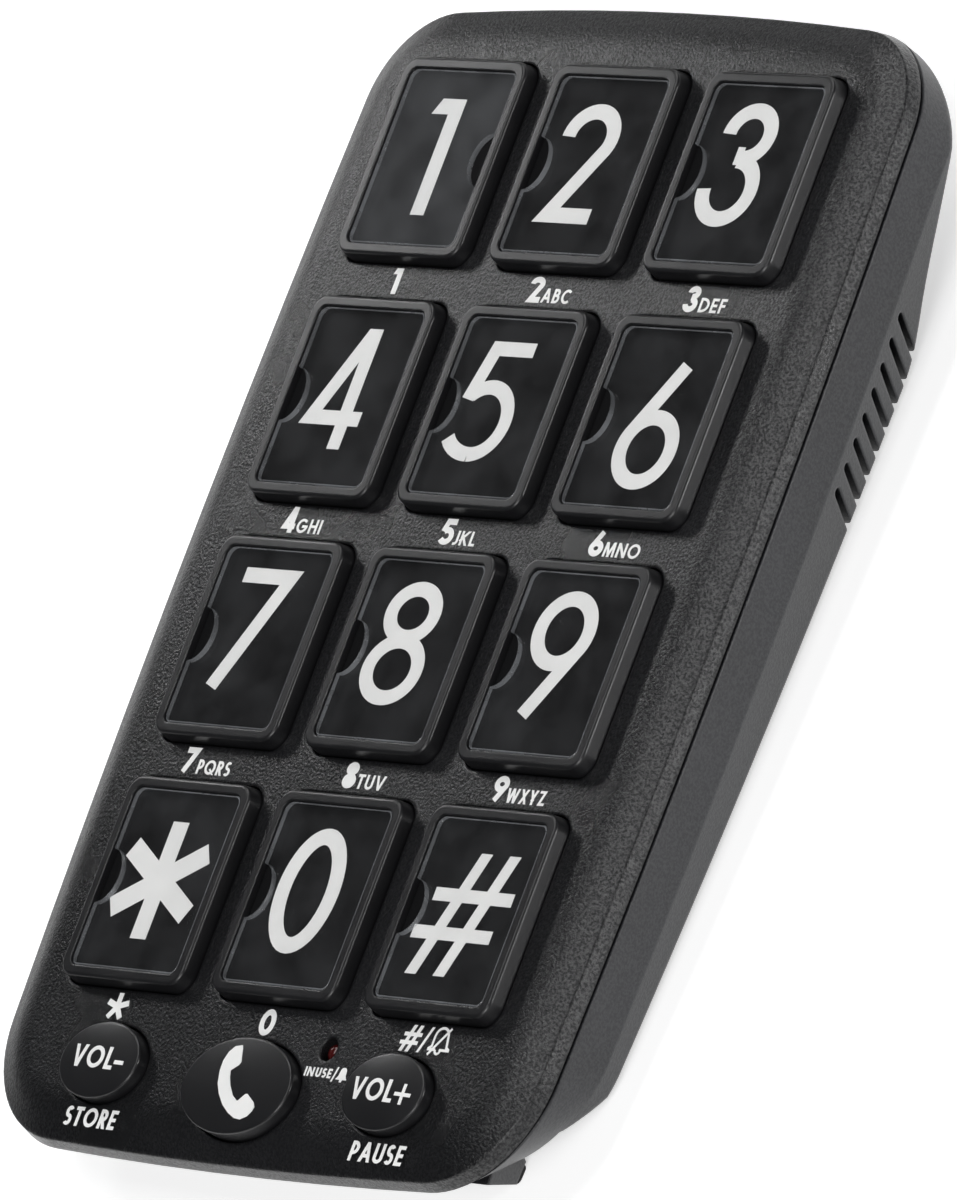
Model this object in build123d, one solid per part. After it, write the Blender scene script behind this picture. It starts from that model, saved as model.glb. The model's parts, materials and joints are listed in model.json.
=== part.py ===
from build123d import *
import math
import os

# A big button desk telephone. Sizes are in millimetres.
# The pieces are drawn in the frame of the keypad: X to the right, Y towards the top end,
# Z out of the face, with the face at Z = 0 and the middle of the twelve keys at the origin.
# The finished phone is then laid on its wedge-shaped back.

# Grid of the twelve large keys, round which the casing is drawn
column_pitch = 31.0
row_pitch = 34.65
key_width = 25.7
key_length = 29.1

# Outline of the casing, at the line where its two halves meet, from its margins round the keys
side_margin = 11.85
top_margin = 9.775
bottom_margin = 22.4
keys_end = 1.5 * row_pitch + key_length / 2
half_width = column_pitch + key_width / 2 + side_margin
top_end = keys_end + top_margin
bottom_end = -keys_end - bottom_margin
side_bow = 2.0
top_bow = 2.2
bottom_bow = 1.5
top_corner_radius = 14.0
bottom_corner_radius = 17.0

# Front half
wall = 2.0
face_thickness = 2.0
split_depth = 4.0
ridge_depth = 1.9
ridge_inset = 0.5
roll_width = 4.5
roll_radius = 12.0
split_gap = 0.45

# Rear half: a shallow tray with a wedge-shaped hull under it
tray_depth = 11.3
tray_draft_inset = 0.6
end_rake = 0.85
hull_draft = 26.0
hull_end = bottom_end + 12.9
hull_end_run = 7.0
hump_depth = 21.3
hump_place = top_end - 43.3
back_slope = 3.2
back_edge_radius_most = 1.5
back_edge_share = 0.15
back_edge_radius = min(back_edge_radius_most, back_edge_share * (hump_depth - tray_depth))
tongue_height = 1.1
tongue_inset = 1.0
fit_gap = 0.05
end_gap = 0.1
top_edge_depth = 4.4
top_edge_place = top_end + 1.7
hump_fall = [(top_end - 32.3, 2.9), (top_end - 18.3, 7.4), (top_end - 7.3, 11.4)]

# Louvres through both edges of the hump
louvre_count = 8
louvre_pitch = 3.53
louvre_width = 1.3
louvre_top_depth = 12.9
louvre_first = hump_place + 6.8
louvre_lean = 18.0
louvre_inner = half_width - 11.7
louvre_length = 16.0

# The twelve large keys
key_corner_radius = 2.8
key_draft_inset = 0.35
key_height = 2.0
key_edge_radius = 0.45
rim_width = 1.4
recess_depth = 1.35
key_floor = 1.3
key_wall = 1.2
key_gap = 0.3
flange_width = 1.2
flange_thickness = 0.8
flange_gap = 0.15
key_travel = 1.2
plunger_size = 5.0
plunger_corner = 0.5
plunger_reach = 0.6
key_rib = 1.0

# Card and clear cover in each large key
card_thickness = 0.3
card_gap = 0.15
print_gap = 0.05
window_thickness = 0.8
window_gap = 0.12
window_corner_radius = 1.5
notch_width = 7.8
notch_depth = 3.2
window_chamfer = 0.25

# The three oval keys at the bottom
oval_spacing = 28.95
volume_place = -keys_end - 10.7
volume_width = 15.7
volume_length = 10.7
call_place = -keys_end - 12.1
call_width = 21.5
call_length = 13.5
oval_height = 2.1
oval_dome = 0.45
oval_edge_radius = 0.3
oval_flange = 1.2
oval_flange_trim = 2.6
oval_roof = 1.8

# Lamp
lamp_x = 13.4
lamp_y = -keys_end - 5.35
lamp_hole = 3.3
lamp_diameter = 3.0
lamp_set_back = 0.5
lamp_tube_wall = 1.1
lamp_tube_gap = 0.6

# Circuit board and rubber key mat
dome_gap = 0.1
dome_height = 1.5
dome_diameter = 9.0
dome_wall = 0.7
dome_taper = 0.7
small_dome = 0.8
mat_hole_gap = 0.5
mat_thickness = 0.6
mat_margin = 1.6
board_thickness = 1.6
board_half_width = half_width - 9.7
board_top = top_end - 9.5
board_bottom = bottom_end + 5.8
board_corner_radius = 4.0
board_lower_radius = 15.0
board_notch_gap = 0.6

# Screws
board_screw_diameter = 2.0
board_boss_diameter = 5.0
board_screw_length = 5.0
board_screw_head = 3.8
case_screw_diameter = 2.5
case_boss_diameter = 7.0
case_screw_head = 4.6
case_screw_length = 4.8
case_screw_cover = 1.6
head_height = 1.4
head_gap = 0.2
screw_cover = 0.8
case_screw_x_top = half_width - 6.9
case_screw_y_top = top_end - 18.3
case_screw_x_bottom = half_width - 11.3
case_screw_y_bottom = bottom_end + 15.1
screw_seat = 2.6

# Feet
foot_thickness = 1.2
foot_proud = 0.6
pad_diameter = 12.0
pad_x = half_width - 25.7
pad_y = hump_place - 11.0
foot_x = half_width - 18.7
foot_y = bottom_end + 8.4
foot_width = 12.6
foot_length = 8.6
foot_draft = 22.0
foot_root = 3.0
foot_reach = 10.0
foot_border = 2.9
foot_tip_corner = 0.8

# Loudspeaker
speaker_diameter = 50.0
speaker_gap = 0.2
cone_height = 1.6
speaker_rim = 1.0
speaker_x = 0.0
speaker_y = -4.5
speaker_flange = 2.0
speaker_depth = 4.8
magnet_diameter = 24.0
magnet_depth = 2.8
magnet_hollow = 3.0
speaker_ring_wall = 1.6
speaker_ring_height = 3.0
speaker_stand = 1.4

# Microphone
mic_diameter = 4.0
mic_depth = 1.5
mic_x = -14.0
mic_y = -70.5
boot_wall = 1.0
boot_floor = 0.4
mic_hole = 1.2

# Telephone line socket, a six-way modular jack
jack_width = 13.2
jack_height = 10.6
jack_length = 14.0
jack_x = -25.0
jack_face = hump_place + 6.0
jack_bore_width = 9.75
jack_bore_height = 6.7
jack_bore_depth = 10.5
jack_key_width = 6.0
jack_key_height = 2.2
jack_gap = 0.1
contact_size = 0.4
contact_pitch = 1.02
contact_count = 4
pocket_width = 15.0
pocket_length = 31.0
pocket_wall = 1.6
pocket_gap = 0.3

# Reach of cutters past the form that they trim
clear_of_all = 9.0
clear_above = 3.0

# Heights worked out from the sizes above
face_under = -face_thickness
flange_top = face_under - flange_gap
flange_under = flange_top - flange_thickness
plunger_under = flange_under - plunger_reach
dome_top = plunger_under - dome_gap
mat_top = dome_top - dome_height
board_upper = mat_top - mat_thickness
board_under = board_upper - board_thickness
rear_rim = -split_depth - split_gap
tray_under = -tray_depth
slope = math.tan(math.radians(back_slope))
recess_floor = key_height - recess_depth
key_roof_under = recess_floor - key_floor
window_width = key_width - 2 * key_draft_inset - 2 * rim_width
window_length = key_length - 2 * key_draft_inset - 2 * rim_width
columns = [-column_pitch, 0, column_pitch]
rows = [row_pitch * (1.5 - i) for i in range(4)]
key_names = [["1", "2", "3"], ["4", "5", "6"], ["7", "8", "9"], ["star", "0", "hash"]]


def back_height(y, proud=0.0):
    """Height of the flat of the back at y, or of a face that stands proud of it."""
    return -hump_depth + slope * (hump_place - y) - proud


def outline(inset, height):
    """Face inside the bowed outline of the casing, drawn in by inset, at a height.

    Below the parting line the bottom end slants inwards.
    """
    side = half_width - side_bow - inset
    top = top_end - top_bow - inset
    raked = bottom_end + inset + end_rake * max(0, -split_depth - height)
    low = raked + bottom_bow
    middle = (top + low) / 2
    corners = [(side, top), (-side, top), (-side, low), (side, low)]
    edges = [
        ThreePointArc(corners[0], (0, top_end - inset), corners[1]),
        ThreePointArc(corners[1], (-half_width + inset, middle), corners[2]),
        ThreePointArc(corners[2], (0, raked), corners[3]),
        ThreePointArc(corners[3], (half_width - inset, middle), corners[0]),
    ]
    face = make_face(edges)
    upper = [v for v in face.vertices() if v.Y > middle]
    face = fillet(upper, max(top_corner_radius - inset, 1.0))
    lower = [v for v in face.vertices() if v.Y < middle and abs(abs(v.X) - side) < 0.01]
    face = fillet(lower, max(bottom_corner_radius - inset, 1.0))
    return Pos(0, 0, height) * face


def between(low_inset, low_height, high_inset, high_height):
    """Straight-walled solid between two levels of the casing outline."""
    return loft([outline(low_inset, low_height), outline(high_inset, high_height)], ruled=True)


def plate(width, length, radius, low, high, x=0, y=0):
    """Upright block with rounded corners between two heights."""
    shape = RectangleRounded(width, length, radius)
    return Pos(x, y, low) * extrude(shape, high - low)


def drum(diameter, low, high, x=0, y=0):
    """Upright cylinder between two heights."""
    return Pos(x, y, low) * extrude(Circle(diameter / 2), high - low)


def oval(width, length, low, high, x=0, y=0):
    """Upright oval block between two heights."""
    return Pos(x, y, low) * extrude(Ellipse(width / 2, length / 2), high - low)


# Places of the screws
board_screws = [(sx * column_pitch / 2, row_pitch * r) for sx in (-1, 1) for r in (-1, 0, 1)]
case_screws = [(s * case_screw_x_top, case_screw_y_top) for s in (-1, 1)]
case_screws += [(s * case_screw_x_bottom, case_screw_y_bottom) for s in (-1, 1)]

# The oval keys: name, place, width and length
ovals = [
    ("volume_down_key", -oval_spacing, volume_place, volume_width, volume_length),
    ("call_key", 0, call_place, call_width, call_length),
    ("volume_up_key", oval_spacing, volume_place, volume_width, volume_length),
]

# Electronics on the underside of the board: place, width, length and height of the blocks,
# then place, diameter and height of the round capacitors
blocks = [(4, -47, 12, 12, 1.4), (-20, -44, 8, 10, 1.4), (34, -30, 5, 6, 1.2), (-36, -22, 11, 9, 6.5),
          (24, -54, 6, 4, 1.2)]
cans = [(22, -44, 6.3, 5.2), (-8, -56, 5, 5.2), (-32, -52, 6.3, 5.2), (38, -18, 5, 5.2)]


def front_cover():
    """Shallow front half with the key openings, screw bosses and key guides."""
    skirt = between(0, -split_depth, ridge_inset, -ridge_depth)
    crown = between(ridge_inset, -ridge_depth, ridge_inset + roll_width, 0)
    rim = crown.faces().sort_by(Axis.Z)[-1].edges()
    crown = fillet(rim, roll_radius)
    body = skirt + crown
    groove = tongue_inset - fit_gap
    body -= between(wall, -split_depth, ridge_inset + roll_width + wall, face_under)
    body -= between(groove, -split_depth, groove, -split_depth + tongue_height)
    for x in columns:
        for y in rows:
            body -= plate(key_width + 2 * key_gap, key_length + 2 * key_gap, key_corner_radius + key_gap,
                          -split_depth, 1, x, y)
    for name, x, y, width, length in ovals:
        body -= oval(width + 2 * key_gap, length + 2 * key_gap, -split_depth, 1, x, y)
    body -= drum(lamp_hole, -split_depth, 1, lamp_x, lamp_y)
    for x, y in board_screws:
        body += drum(board_boss_diameter, board_upper, face_under, x, y)
        body -= drum(board_screw_diameter, board_upper, -screw_cover, x, y)
    for x, y in case_screws:
        body += drum(case_boss_diameter, -split_depth, face_under, x, y)
        body -= drum(case_screw_diameter, -split_depth, -case_screw_cover, x, y)
    tube = drum(lamp_hole + 2 * lamp_tube_wall, board_upper + lamp_tube_gap, face_under, lamp_x, lamp_y)
    body += tube - drum(lamp_hole, board_upper, 1, lamp_x, lamp_y)
    return body


def back_profile(inset):
    """Side view of the casing, extruded across it, with the lower line raised by inset."""
    lift = inset
    flat_start = (hump_place, back_height(hump_place) + lift)
    flat_end = (hull_end + hull_end_run, back_height(hull_end + hull_end_run) + lift)
    along = (math.cos(math.radians(back_slope)), -math.sin(math.radians(back_slope)))
    top_edge = (top_edge_place, -top_edge_depth + lift)
    points = [(y, -hump_depth + rise + lift) for y, rise in hump_fall]
    fall = Spline(flat_start, *points, top_edge, tangents=(along, (0.75, 0.66)))
    far_top = (top_end + clear_of_all, clear_above)
    far_low = (bottom_end - clear_of_all, clear_above)
    under_low = (bottom_end - clear_of_all, tray_under + lift)
    lines = [
        Line(under_low, (hull_end, tray_under + lift)),
        Line((hull_end, tray_under + lift), flat_end),
        Line(flat_end, flat_start),
        fall,
        Line(top_edge, far_top),
        Line(far_top, far_low),
        Line(far_low, under_low),
    ]
    side_view = Plane.YZ * make_face(lines)
    return extrude(side_view, half_width + clear_of_all, both=True)


def rear_form(inset):
    """Outer form of the rear half, or the space inside it when drawn in by a wall."""
    tray = between(tray_draft_inset + inset, tray_under, inset, rear_rim)
    hull_top = outline(tray_draft_inset + inset, tray_under)
    hull = extrude(hull_top, -(hump_depth + clear_above - tray_depth), taper=hull_draft)
    return (tray + hull) & back_profile(inset)


def back_edges(form):
    """Edges where the faces of the back meet the side walls."""
    centred = [f for f in form.faces() if abs(f.normal_at().X) < 0.001 and f.normal_at().Z < -0.2]
    back = [f for f in centred if f.normal_at().Y > -0.6]
    found = []
    for edge in form.edges():
        shared = [f for f in back if any(edge.is_same(e) for e in f.edges())]
        if len(shared) == 1:
            found.append(edge)
    return found


def back_frame(x, y):
    """Frame lying on the flat of the back, its Z axis pointing into the casing."""
    return Pos(x, y, back_height(y)) * Rot(X=-back_slope)


def louvres():
    """Cutters for the slanted slots, which wrap round both edges of the back."""
    cuts = []
    lean = math.radians(louvre_lean)
    for i in range(louvre_count):
        y = louvre_first - i * louvre_pitch - math.sin(lean) * louvre_length / 2
        z = -louvre_top_depth - math.cos(lean) * louvre_length / 2
        slot = Pos(y, z) * Rot(Z=90 - louvre_lean) * SlotOverall(louvre_length, louvre_width)
        for side in (-1, 1):
            strip = extrude(Plane.YZ * slot, half_width - louvre_inner)
            cuts.append(Pos(louvre_inner if side > 0 else -half_width, 0, 0) * strip)
    return cuts


def foot_block(side):
    """Block under the tray, cut off level with the back, that carries a foot."""
    block = extrude(Rectangle(foot_width, foot_length), -foot_reach, taper=foot_draft)
    block = Pos(side * foot_x, foot_y, tray_under + foot_root) * block
    below = extrude(Rectangle(2 * foot_width, 2 * foot_length), -foot_reach)
    return block - back_frame(side * foot_x, foot_y) * below


def rear_cover():
    """Rear half: tray, wedge hull, louvres, tongue, screw seats, feet and sockets."""
    outer = rear_form(0)
    outer = fillet(back_edges(outer), back_edge_radius)
    body = outer
    for side in (-1, 1):
        body += foot_block(side)
    body -= rear_form(wall)
    tongue_top = -split_depth + tongue_height - end_gap
    tongue = between(tongue_inset, rear_rim, tongue_inset, tongue_top)
    tongue -= between(wall, rear_rim, wall, tongue_top)
    body += tongue
    inside = outer.fuse(between(tongue_inset, rear_rim - 1, tongue_inset, -split_depth))
    for x, y in case_screws:
        body -= drum(case_boss_diameter + 4 * fit_gap, -split_depth, 0, x, y)
        body += drum(case_boss_diameter, -hump_depth, -split_depth, x, y) & inside
    for side in (-1, 1):
        body -= foot_rubber(side)
        body -= pad_rubber(side)
    floor = back_frame(speaker_x, speaker_y) * Pos(0, 0, wall / 2)
    ring = speaker_diameter + 2 * speaker_gap
    guard_height = wall / 2 + speaker_stand + speaker_ring_height
    guard = floor * extrude(Circle(ring / 2 + speaker_ring_wall), guard_height)
    bore = floor * Pos(0, 0, wall / 2) * extrude(Circle(ring / 2 - speaker_flange), hump_depth)
    well = floor * Pos(0, 0, wall / 2 + speaker_stand) * extrude(Circle(ring / 2), hump_depth)
    body += guard - bore - well
    jack_z = board_under - jack_height / 2
    ceiling = board_under - pocket_gap
    liner = Rectangle(pocket_width + 2 * pocket_wall, pocket_length + 2 * pocket_wall)
    pocket = Rectangle(pocket_width, pocket_length)
    corner = Pos(jack_x, jack_face + pocket_length / 2, ceiling)
    body += corner * extrude(liner, -hump_depth) & outer
    body -= corner * Pos(0, 0, -pocket_wall) * extrude(pocket, -hump_depth)
    window = Box(jack_width + 2 * jack_gap, 2 * pocket_wall + 1, jack_height + 2 * jack_gap)
    body -= Pos(jack_x, jack_face, jack_z) * window
    body -= drum(mic_hole, -hump_depth, 0, mic_x, mic_y)
    for x, y in case_screws:
        body -= drum(case_screw_diameter + 2 * fit_gap, -hump_depth, 0, x, y)
        body -= drum(case_screw_head + 2 * head_gap, -hump_depth, -split_depth - screw_seat, x, y)
    for cut in louvres():
        body -= cut
    return body


def pad_rubber(side):
    """Round rubber pad let into the back under the hump."""
    return back_frame(side * pad_x, pad_y) * Pos(0, 0, -foot_proud) * extrude(
        Circle(pad_diameter / 2), foot_thickness)


def foot_rubber(side):
    """Rubber tip under one of the two lower feet."""
    shape = RectangleRounded(foot_width - 2 * foot_border, foot_length - 2 * foot_border, foot_tip_corner)
    tip = extrude(shape, foot_thickness)
    return back_frame(side * foot_x, foot_y) * Pos(0, 0, -foot_proud) * tip


def key_cap(x, y):
    """Large key: raised rim round a recess, skirt, retaining flange and plunger."""
    low = Pos(x, y, 0) * RectangleRounded(key_width, key_length, key_corner_radius)
    top_width = key_width - 2 * key_draft_inset
    top_length = key_length - 2 * key_draft_inset
    high = Pos(x, y, key_height) * RectangleRounded(top_width, top_length, key_corner_radius - key_draft_inset)
    head = loft([low, high], ruled=True)
    head = fillet(head.faces().sort_by(Axis.Z)[-1].edges(), key_edge_radius)
    body = head + plate(key_width, key_length, key_corner_radius, flange_under, 0, x, y)
    body += plate(key_width + 2 * flange_width, key_length + 2 * flange_width,
                  key_corner_radius + flange_width, flange_under, flange_top, x, y)
    body -= plate(window_width, window_length, window_corner_radius, recess_floor, key_height + 1, x, y)
    body -= plate(key_width - 2 * key_wall, key_length - 2 * key_wall, key_corner_radius - key_wall,
                  flange_under, key_roof_under, x, y)
    body += plate(plunger_size, plunger_size, plunger_corner, plunger_under, key_roof_under, x, y)
    for width, length in ((key_width - key_wall, key_rib), (key_rib, key_length - key_wall)):
        rib = extrude(Rectangle(width, length), key_roof_under - flange_under)
        body += Pos(x, y, flange_under) * rib
    return body


def key_card(x, y):
    """Card with the printed figure, lying in the recess under the clear cover."""
    return plate(window_width - 2 * card_gap, window_length - 2 * card_gap, window_corner_radius - card_gap,
                 recess_floor, recess_floor + card_thickness, x, y)


def key_window(x, y, turned=False):
    """Clear cover with a half-round finger notch in one long edge."""
    low = recess_floor + card_thickness + print_gap
    width = window_width - 2 * window_gap
    body = plate(width, window_length - 2 * window_gap, window_corner_radius - window_gap, low,
                 low + window_thickness, x, y)
    body = chamfer(body.faces().sort_by(Axis.Z)[-1].edges(), window_chamfer)
    side = 1 if turned else -1
    notch = Pos(x + side * width / 2, y, low) * extrude(Ellipse(notch_depth, notch_width / 2), 2)
    return body - notch


def oval_dome_form(x, y, width, length):
    """Flattened ball whose top is the dome of an oval key, level round the key's rim."""
    half = length / 2
    radius = (half ** 2 + oval_dome ** 2) / (2 * oval_dome)
    ball = scale(Sphere(radius), by=(width / length, 1, 1))
    return Pos(x, y, oval_height - radius) * ball


def oval_key(x, y, width, length):
    """Oval key with a softly domed top, a retaining flange and a round plunger."""
    head = oval(width, length, flange_under, oval_height, x, y) & oval_dome_form(x, y, width, length)
    head = fillet(head.faces().sort_by(Axis.Z)[-1].edges(), oval_edge_radius)
    body = head + oval(width + 2 * oval_flange, length - oval_flange_trim, flange_under, flange_top, x, y)
    roof = oval_height - oval_roof
    body -= oval(width - 2 * key_wall, length - 2 * key_wall, flange_under, roof, x, y)
    body += drum(plunger_size, plunger_under, roof, x, y)
    return body


def board_outline():
    """Outline of the circuit board, notched round the casing screws."""
    low = board_bottom
    width = 2 * board_half_width
    length = board_top - low
    shape = Pos(0, (board_top + low) / 2) * Rectangle(width, length)
    shape = fillet(shape.vertices().filter_by(lambda v: v.Y > 0), board_corner_radius)
    shape = fillet(shape.vertices().filter_by(lambda v: v.Y < low + 1), board_lower_radius)
    for x, y in case_screws:
        shape -= Pos(x, y) * Circle(case_boss_diameter / 2 + board_notch_gap)
    return shape


def circuit_board():
    """Main circuit board, hung from the front half by six screws."""
    body = Pos(0, 0, board_under) * extrude(board_outline(), board_thickness)
    for x, y in board_screws:
        body -= drum(board_screw_diameter + 2 * fit_gap, board_under, board_upper, x, y)
    return body


def key_mat():
    """Rubber mat with a hollow dome under each of the fifteen keys."""
    shape = offset(board_outline(), -mat_margin)
    body = Pos(0, 0, board_upper) * extrude(shape, mat_thickness)
    for x, y in board_screws:
        body -= drum(board_boss_diameter + 2 * mat_hole_gap, board_upper, 0, x, y)
    tube = lamp_hole + 2 * lamp_tube_wall
    body -= drum(tube + 2 * mat_hole_gap, board_upper, 0, lamp_x, lamp_y)
    places = [(x, y, 1.0) for x in columns for y in rows]
    places += [(x, y, small_dome) for name, x, y, width, length in ovals]
    for x, y, scale in places:
        wide = dome_diameter * scale / 2
        rise = mat_thickness + dome_height
        body += Pos(x, y, board_upper + rise / 2) * Cone(wide, wide * dome_taper, rise)
        inner = rise - dome_wall
        hollow = Cone(wide - dome_wall, wide * dome_taper - dome_wall, inner)
        body -= Pos(x, y, board_upper + inner / 2) * hollow
    return body


def lamp():
    """Round lamp standing on the board behind its hole in the face."""
    height = -lamp_set_back - board_upper
    radius = lamp_diameter / 2 - fit_gap
    body = drum(2 * radius, board_upper, board_upper + height - radius, lamp_x, lamp_y)
    body += Pos(lamp_x, lamp_y, board_upper + height - radius) * Sphere(radius)
    return body


def board_parts():
    """Chips, capacitors and the line transformer on the underside of the board."""
    parts = []
    for x, y, width, length, height in blocks:
        parts.append(Pos(x, y, board_under - height / 2) * Box(width, length, height))
    for x, y, diameter, height in cans:
        parts.append(drum(diameter, board_under - height, board_under, x, y))
    return parts


def speaker():
    """Slim loudspeaker lying face down in its ring on the floor of the hump."""
    outer = speaker_diameter / 2
    cone = magnet_diameter / 2
    back = speaker_depth + magnet_depth
    profile = Polyline((0, cone_height), (cone - magnet_hollow, cone_height),
                       (outer - speaker_flange - speaker_rim, 0), (outer, 0), (outer, speaker_rim),
                       (outer - speaker_flange, cone_height), (cone + magnet_hollow, speaker_depth),
                       (cone, speaker_depth), (cone, back), (0, back), (0, cone_height))
    body = revolve(Plane.XZ * make_face(profile), Axis.Z)
    return back_frame(speaker_x, speaker_y) * Pos(0, 0, wall + speaker_stand) * body


def tray_floor():
    """Height of the inside of the tray."""
    return tray_under + wall


def microphone():
    """Small round microphone lying in its rubber cup on the floor of the tray."""
    low = tray_floor() + boot_floor
    return drum(mic_diameter, low, low + mic_depth, mic_x, mic_y)


def microphone_boot():
    """Rubber cup that holds the microphone over its sound hole."""
    low = tray_floor()
    body = drum(mic_diameter + 2 * boot_wall, low, low + boot_floor + mic_depth, mic_x, mic_y)
    body -= drum(mic_diameter, low + boot_floor, 0, mic_x, mic_y)
    body -= drum(mic_hole, -hump_depth, 0, mic_x, mic_y)
    return body


def line_socket():
    """Modular line socket on the board, its mouth facing the top end."""
    z = board_under - jack_height / 2
    body = Pos(jack_x, jack_face - jack_length / 2, z) * Box(jack_width, jack_length, jack_height)
    mouth = Pos(jack_x, jack_face - jack_bore_depth / 2, z)
    body -= mouth * Box(jack_bore_width, jack_bore_depth, jack_bore_height)
    body -= Pos(jack_x, jack_face - jack_bore_depth / 2, z - jack_bore_height / 2) * Box(
        jack_key_width, jack_bore_depth, jack_key_height)
    return body


def socket_contacts():
    """Four sprung contact wires inside the line socket."""
    wires = []
    z = board_under - jack_height / 2 + jack_bore_height / 2 - contact_size / 2
    for i in range(contact_count):
        x = jack_x + (i - (contact_count - 1) / 2) * contact_pitch
        wire = Box(contact_size, jack_bore_depth - 2, contact_size)
        wires.append(Pos(x, jack_face - jack_bore_depth / 2, z) * wire)
    return wires


def board_screw(x, y):
    """Small screw through the board into a boss of the front half."""
    body = drum(board_screw_diameter, board_under, board_under + board_screw_length, x, y)
    return body + drum(board_screw_head, board_under - head_height, board_under, x, y)


def case_screw(x, y):
    """Screw that draws the rear half up to the front half."""
    seat = -split_depth - screw_seat
    body = drum(case_screw_diameter, seat, seat + case_screw_length, x, y)
    head = drum(case_screw_head, seat - head_height, seat, x, y)
    return body + head


pieces = {
    "front_cover": front_cover(),
    "rear_cover": rear_cover(),
    "circuit_board": circuit_board(),
    "board_components": board_parts(),
    "key_mat": key_mat(),
    "in_use_lamp": lamp(),
    "loudspeaker": speaker(),
    "microphone": microphone(),
    "microphone_boot": microphone_boot(),
    "line_socket": line_socket(),
    "line_socket_contacts": socket_contacts(),
    "board_screws": [board_screw(x, y) for x, y in board_screws],
    "case_screws": [case_screw(x, y) for x, y in case_screws],
    "back_pads": [pad_rubber(side) for side in (-1, 1)],
    "lower_feet": [foot_rubber(side) for side in (-1, 1)],
}
for y, names in zip(rows, key_names):
    for x, name in zip(columns, names):
        pieces["key_" + name] = key_cap(x, y)
        pieces["card_" + name] = key_card(x, y)
        pieces["window_" + name] = key_window(x, y, name == "1")
for name, x, y, width, length in ovals:
    pieces[name] = oval_key(x, y, width, length)

# Lay the phone on its back: the back is turned level and the feet come down to Z = 0,
# with the middle of its bounding box over the origin
tilt = Rot(X=back_slope)
laid = {}
for name, shape in pieces.items():
    solids = shape if isinstance(shape, list) else [shape]
    laid[name] = [tilt * solid for solid in solids]
everything = Compound(children=[Compound(solids) for solids in laid.values()])
box = everything.bounding_box()
stand = Pos(-box.center().X, -box.center().Y, -box.min.Z)

os.makedirs("parts", exist_ok=True)
for name, solids in laid.items():
    placed = [stand * solid for solid in solids]
    shape = placed[0] if len(placed) == 1 else Compound(placed)
    export_step(shape, "parts/" + name + ".step")
print("size", box.size, "lift", stand.position)
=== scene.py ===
import json
import math

import bpy
from mathutils import Matrix, Vector
from mathutils.bvhtree import BVHTree
from mathutils.geometry import delaunay_2d_cdt


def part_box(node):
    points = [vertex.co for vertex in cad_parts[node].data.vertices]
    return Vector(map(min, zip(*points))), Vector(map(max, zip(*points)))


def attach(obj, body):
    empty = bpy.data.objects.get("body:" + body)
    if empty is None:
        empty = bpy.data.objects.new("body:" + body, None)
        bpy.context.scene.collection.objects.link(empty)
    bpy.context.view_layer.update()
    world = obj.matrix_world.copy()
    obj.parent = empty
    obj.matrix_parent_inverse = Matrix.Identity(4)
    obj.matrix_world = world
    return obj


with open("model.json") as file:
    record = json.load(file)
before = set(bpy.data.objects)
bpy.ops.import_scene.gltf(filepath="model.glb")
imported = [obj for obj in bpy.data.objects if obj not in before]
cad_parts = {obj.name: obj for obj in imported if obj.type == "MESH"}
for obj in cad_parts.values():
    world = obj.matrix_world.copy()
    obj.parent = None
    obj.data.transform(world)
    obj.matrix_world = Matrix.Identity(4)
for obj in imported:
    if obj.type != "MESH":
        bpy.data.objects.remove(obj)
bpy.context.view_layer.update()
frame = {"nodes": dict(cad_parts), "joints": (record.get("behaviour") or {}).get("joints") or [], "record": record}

nodes = frame["nodes"]
subparts = frame["record"]["subparts"]
joints = {joint["name"]: joint for joint in frame["joints"]}
MM = 0.001

# Frame of the keypad: x to the right, y towards the top end, z out of the face, in millimetres,
# with the middle of the twelve keys on the face at the origin
face_up = Vector(joints["press_5"]["axis"]).normalized()
face_right = Vector((1, 0, 0))
face_along = face_up.cross(face_right)


def middle(node):
    """Middle of a CAD node's box."""
    low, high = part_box(node)
    return (low + high) / 2


face_level = max(v.co.dot(face_up) for v in nodes["front_cover"].data.vertices)
keypad_middle = (middle("card_1") + middle("card_hash")) / 2
face_origin = keypad_middle + face_up * (face_level - keypad_middle.dot(face_up))


def place(x, y, z=0.0):
    """Point of the row frame, in metres, from the keypad's frame."""
    return face_origin + (face_right * x + face_along * y + face_up * z) * MM


def card_middle(key):
    """Middle of a key's card, as x and y of the keypad's frame."""
    offset = (middle("card_" + key) - face_origin) / MM
    return offset.dot(face_right), offset.dot(face_along)


def level_of(node):
    """Height of a node's highest point above the face, in millimetres."""
    top = max(v.co.dot(face_up) for v in nodes[node].data.vertices)
    return (top - face_level) / MM


# Materials. Scales of the noises are in features per metre, and depths and radii are in metres
patch_scale = 45
haze_scale = 130
flow_scale = 160
mould_scale = 1500
brush_scale = 3000
fine_relief = 0.000004
head_on_mirror = 0.04


def new_material(name):
    """Material with its node tree and its main shader."""
    material = bpy.data.materials.new(name)
    material.use_nodes = True
    tree = material.node_tree
    return material, tree, tree.nodes["Principled BSDF"]


def noise(tree, scale, detail=2.0, roughness=0.5):
    """Noise over the object's own coordinates."""
    coordinates = tree.nodes.new("ShaderNodeTexCoord")
    texture = tree.nodes.new("ShaderNodeTexNoise")
    texture.inputs["Scale"].default_value = scale
    texture.inputs["Detail"].default_value = detail
    texture.inputs["Roughness"].default_value = roughness
    tree.links.new(coordinates.outputs["Object"], texture.inputs["Vector"])
    return texture.outputs["Fac"]


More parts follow.
